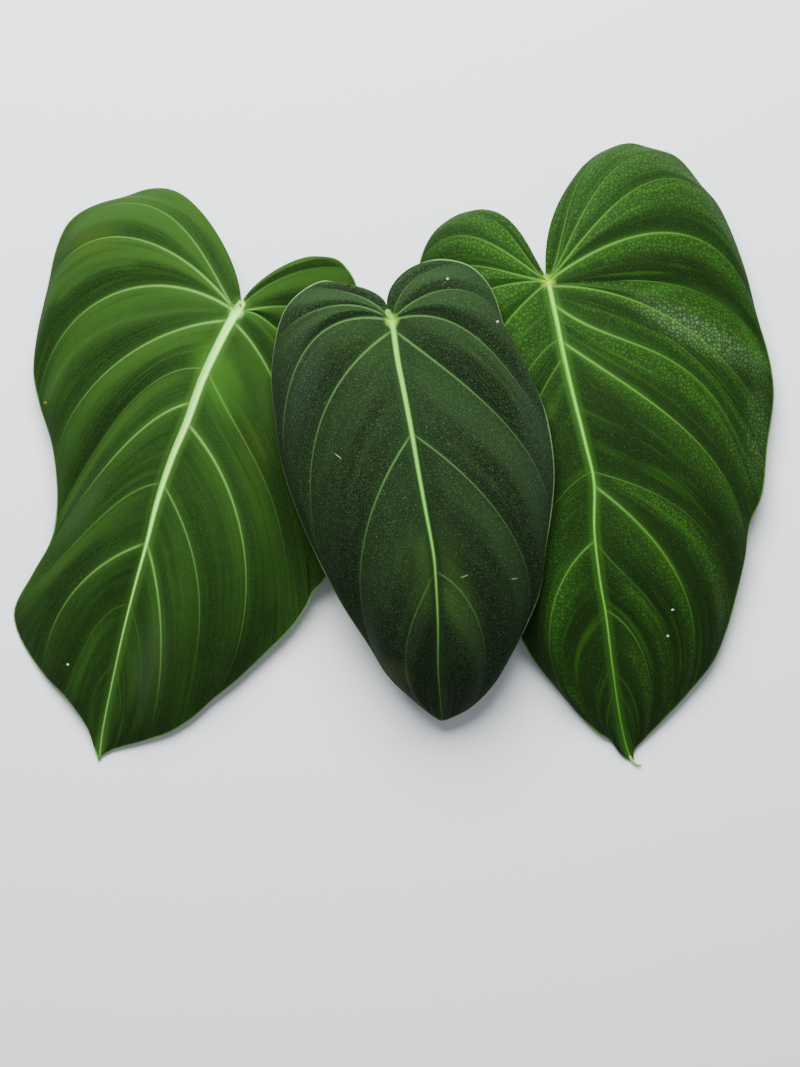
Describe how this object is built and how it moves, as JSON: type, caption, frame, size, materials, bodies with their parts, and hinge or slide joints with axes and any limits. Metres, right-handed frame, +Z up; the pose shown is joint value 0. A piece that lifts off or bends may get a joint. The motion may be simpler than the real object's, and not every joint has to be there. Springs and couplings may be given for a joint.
{
  "type": "velvet-leaved philodendron plant",
  "caption": "Lifted creeping aroid laid on its back: heart-shaped velvet leaf blades with pale veins, their stalks, and a short rooted stem under them.",
  "frame": {"origin": "middle of the flat underside of the left leaf's stalk, where it lies on the surface near the plan centre of the plant", "axes": "+Z up from the surface the plant lies on, +X to the right and +Y to the top as seen from straight above, where the tips of the blades point to -Y"},
  "size_m": [0.3274, 0.2677, 0.0582],
  "materials": {
    "left_leaf_velvet": "velvety living leaf, mid green with olive patches and pale green veins",
    "middle_leaf_velvet": "velvety living leaf, very dark green with a pale midrib and a pale rim",
    "right_leaf_velvet": "velvety living leaf, bright green with a fine raised net and pale green veins",
    "petiole_skin": "smooth green stalk with fine pale streaks",
    "stem_bark": "green to tan creeping stem with leaf scars and tan roots"
  },
  "bodies": {
    "root": {"blade_left": "left_leaf_velvet", "blade_middle": "middle_leaf_velvet", "blade_right": "right_leaf_velvet", "petiole_left": "petiole_skin", "petiole_middle": "petiole_skin", "petiole_right": "petiole_skin", "creeping_stem": "stem_bark"}
  },
  "joints": []
}
